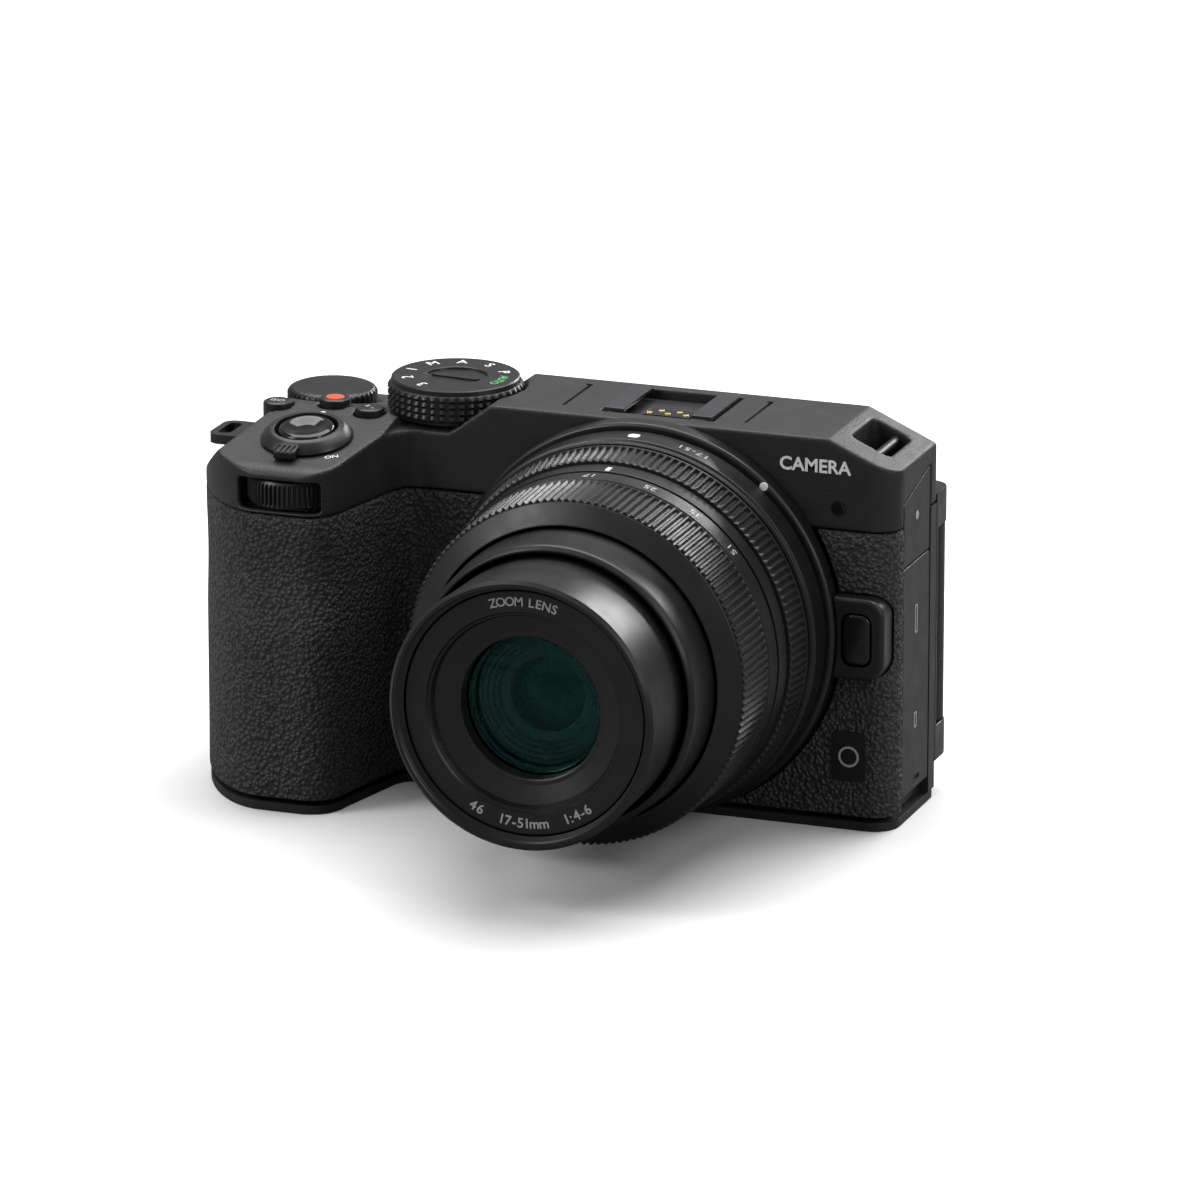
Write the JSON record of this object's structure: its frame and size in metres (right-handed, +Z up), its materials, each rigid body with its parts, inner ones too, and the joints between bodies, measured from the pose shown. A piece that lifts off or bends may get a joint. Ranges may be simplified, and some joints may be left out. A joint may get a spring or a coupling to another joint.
{
  "type": "mirrorless camera with collapsible zoom lens",
  "caption": "Compact interchangeable-lens camera body with a hand grip, control dials, swing-out monitor, hot shoe and an extended collapsible zoom lens on a bayonet mount.",
  "frame": {"origin": "on the base plane, straight below the lens axis, at the face of the image sensor", "axes": "+Z up, lens points to -Y, hand grip on the -X side and socket covers on the +X side"},
  "size_m": [0.1326, 0.0971, 0.0725],
  "materials": {
    "cover_plastic": "fine grained matt black",
    "satin_plastic": "satin black",
    "grained_rubber": "leather grain",
    "record_red": "satin orange red",
    "bright_steel": "turned",
    "dark_metal": "black coated",
    "contact_gold": "bright",
    "lens_glass": "coated, teal green",
    "monitor_glass": "glossy black",
    "sensor_glass": "coated",
    "board": "solder mask",
    "cell_plastic": "printed label"
  },
  "bodies": {
    "body": {"front_cover": "cover_plastic", "top_cover": "cover_plastic", "rear_cover": "cover_plastic", "base_plate": "satin_plastic", "grip_rubber": "grained_rubber", "leatherette": "grained_rubber", "thumb_rest": "grained_rubber", "chassis": "dark_metal", "mount_ring": "bright_steel", "mount_trim": "satin_plastic", "tripod_socket": "bright_steel", "image_sensor": "sensor_glass", "shutter_frame": "satin_plastic", "main_board": "board", "port_block": "satin_plastic", "battery": "cell_plastic", "memory_card": "cell_plastic", "hot_shoe": "dark_metal", "shoe_contacts": "contact_gold", "strap_loop_left": "bright_steel", "strap_bar_right": "bright_steel", "hinge_bracket": "dark_metal"},
    "shutter_release": {"shutter_button": "satin_plastic"},
    "power": {"power_lever": "cover_plastic"},
    "mode_dial_body": {"mode_dial": "satin_plastic"},
    "main_dial_body": {"main_command_dial": "satin_plastic"},
    "sub_dial_body": {"sub_command_dial": "satin_plastic"},
    "record_body": {"record_button": "record_red"},
    "iso_body": {"iso_button": "satin_plastic"},
    "exposure_body": {"exposure_button": "satin_plastic"},
    "play_body": {"play_button": "satin_plastic"},
    "delete_body": {"delete_button": "satin_plastic"},
    "zoom_in_body": {"zoom_in_button": "satin_plastic"},
    "zoom_out_body": {"zoom_out_button": "satin_plastic"},
    "menu_body": {"menu_button": "satin_plastic"},
    "fn1_body": {"fn1_button": "satin_plastic"},
    "fn2_body": {"fn2_button": "satin_plastic"},
    "ok_body": {"ok_button": "satin_plastic"},
    "pad_body": {"multi_selector": "satin_plastic"},
    "photo_movie_body": {"photo_movie_selector": "satin_plastic"},
    "lens_release_body": {"lens_release_button": "satin_plastic"},
    "lens_lock_body": {"lens_lock_pin": "bright_steel"},
    "curtain_body": {"shutter_curtain": "dark_metal"},
    "battery_door_body": {"battery_door": "satin_plastic"},
    "battery_latch_body": {"battery_latch": "cover_plastic"},
    "mic_cover_body": {"mic_cover": "cover_plastic"},
    "port_cover_body": {"port_cover": "cover_plastic"},
    "monitor_body": {"monitor_shell": "cover_plastic", "monitor_glass": "monitor_glass"},
    "lens_body": {"lens_mount": "bright_steel", "lens_base_barrel": "satin_plastic", "rear_element": "lens_glass"},
    "control_body": {"control_ring": "satin_plastic"},
    "zoom_body": {"zoom_ring": "satin_plastic"},
    "middle_body": {"middle_barrel": "satin_plastic"},
    "front_body": {"front_barrel": "satin_plastic", "name_ring": "satin_plastic", "front_element": "lens_glass", "aperture_unit": "satin_plastic"}
  },
  "joints": [
    {"name": "shutter_press", "type": "slide", "parent": "body", "child": "shutter_release", "axis": [0, 0.1655, -0.9862], "range_m": [0, 0.0008], "stiffness_N_per_m": 500},
    {"name": "power_switch", "type": "hinge", "parent": "body", "child": "power", "pos_m": [-0.06, -0.0212, 0.06505], "axis": [0, -0.1655, 0.9862], "range_deg": [0, 35]},
    {"name": "mode_dial_turn", "type": "hinge", "parent": "body", "child": "mode_dial_body", "pos_m": [-0.0408, 0.002, 0.0662], "axis": [0, 0, 1], "continuous": true},
    {"name": "main_dial_turn", "type": "hinge", "parent": "body", "child": "main_dial_body", "pos_m": [-0.0659, 0.0058, 0.064], "axis": [0, 0, 1], "continuous": true},
    {"name": "sub_dial_turn", "type": "hinge", "parent": "body", "child": "sub_dial_body", "pos_m": [-0.0602, -0.0267, 0.0556], "axis": [0, 0, 1], "continuous": true},
    {"name": "record_press", "type": "slide", "parent": "body", "child": "record_body", "axis": [0, 0, -1], "range_m": [0, 0.0006], "stiffness_N_per_m": 400},
    {"name": "iso_press", "type": "slide", "parent": "body", "child": "iso_body", "axis": [0, 0, -1], "range_m": [0, 0.0005], "stiffness_N_per_m": 400},
    {"name": "exposure_press", "type": "slide", "parent": "body", "child": "exposure_body", "axis": [0, 0, -1], "range_m": [0, 0.0005], "stiffness_N_per_m": 400},
    {"name": "play_press", "type": "slide", "parent": "body", "child": "play_body", "axis": [0, -1, 0], "range_m": [0, 0.0005], "stiffness_N_per_m": 400},
    {"name": "delete_press", "type": "slide", "parent": "body", "child": "delete_body", "axis": [0, -1, 0], "range_m": [0, 0.0005], "stiffness_N_per_m": 400},
    {"name": "zoom_in_press", "type": "slide", "parent": "body", "child": "zoom_in_body", "axis": [0, -1, 0], "range_m": [0, 0.0005], "stiffness_N_per_m": 400},
    {"name": "zoom_out_press", "type": "slide", "parent": "body", "child": "zoom_out_body", "axis": [0, -1, 0], "range_m": [0, 0.0005], "stiffness_N_per_m": 400},
    {"name": "menu_press", "type": "slide", "parent": "body", "child": "menu_body", "axis": [0, -1, 0], "range_m": [0, 0.0005], "stiffness_N_per_m": 400},
    {"name": "fn1_press", "type": "slide", "parent": "body", "child": "fn1_body", "axis": [0, 1, 0], "range_m": [0, 0.0005], "stiffness_N_per_m": 400},
    {"name": "fn2_press", "type": "slide", "parent": "body", "child": "fn2_body", "axis": [0, 1, 0], "range_m": [0, 0.0005], "stiffness_N_per_m": 400},
    {"name": "ok_press", "type": "slide", "parent": "body", "child": "ok_body", "axis": [0, -1, 0], "range_m": [0, 0.0006], "stiffness_N_per_m": 400},
    {"name": "pad_press", "type": "slide", "parent": "body", "child": "pad_body", "axis": [0, -1, 0], "range_m": [0, 0.0003], "stiffness_N_per_m": 400},
    {"name": "photo_movie_slide", "type": "slide", "parent": "body", "child": "photo_movie_body", "axis": [1, 0, 0], "range_m": [0, 0.003]},
    {"name": "lens_release_press", "type": "slide", "parent": "body", "child": "lens_release_body", "axis": [0, 1, 0], "range_m": [0, 0.0015], "stiffness_N_per_m": 800},
    {"name": "lens_lock_travel", "type": "slide", "parent": "body", "child": "lens_lock_body", "axis": [0, 1, 0], "range_m": [0, 0.0015]},
    {"name": "shutter_curtain_run", "type": "slide", "parent": "body", "child": "curtain_body", "axis": [0, 0, 1], "range_m": [0, 0.018]},
    {"name": "battery_door_swing", "type": "hinge", "parent": "body", "child": "battery_door_body", "pos_m": [-0.0518, -0.0102, 0.0002], "axis": [0, -1, 0], "range_deg": [0, 95]},
    {"name": "battery_latch_slide", "type": "slide", "parent": "battery_door_body", "child": "battery_latch_body", "axis": [1, 0, 0], "range_m": [0, 0.0018]},
    {"name": "mic_cover_swing", "type": "hinge", "parent": "body", "child": "mic_cover_body", "pos_m": [0.0454, -0.0049, 0.054], "axis": [0, 0, -1], "range_deg": [0, 100]},
    {"name": "port_cover_swing", "type": "hinge", "parent": "body", "child": "port_cover_body", "pos_m": [0.0454, -0.0049, 0.0259], "axis": [0, 0, -1], "range_deg": [0, 100]},
    {"name": "monitor_swing", "type": "hinge", "parent": "body", "child": "monitor_body", "pos_m": [0.0419, 0.0181, 0.03125], "axis": [0, 0, -1], "range_deg": [0, 180]},
    {"name": "lens_twist", "type": "hinge", "parent": "body", "child": "lens_body", "pos_m": [0, -0.0142, 0.0359], "axis": [0, -1, 0], "range_deg": [-40, 0]},
    {"name": "control_ring_turn", "type": "hinge", "parent": "lens_body", "child": "control_body", "pos_m": [0, -0.0249, 0.0359], "axis": [0, -1, 0], "continuous": true},
    {"name": "zoom_ring_turn", "type": "hinge", "parent": "lens_body", "child": "zoom_body", "pos_m": [0, -0.0398, 0.0359], "axis": [0, -1, 0], "range_deg": [-50, 0]},
    {"name": "middle_barrel_travel", "type": "slide", "parent": "lens_body", "child": "middle_body", "axis": [0, -1, 0], "range_m": [-0.009, 0]},
    {"name": "front_barrel_travel", "type": "slide", "parent": "lens_body", "child": "front_body", "axis": [0, -1, 0], "range_m": [-0.025, 0]}
  ],
  "couplings": [
    {"joint": "lens_lock_travel", "follows": "lens_release_press", "ratio": 1},
    {"joint": "middle_barrel_travel", "follows": "zoom_ring_turn", "m_per_rad": 0.010313},
    {"joint": "front_barrel_travel", "follows": "zoom_ring_turn", "m_per_rad": 0.028648}
  ]
}
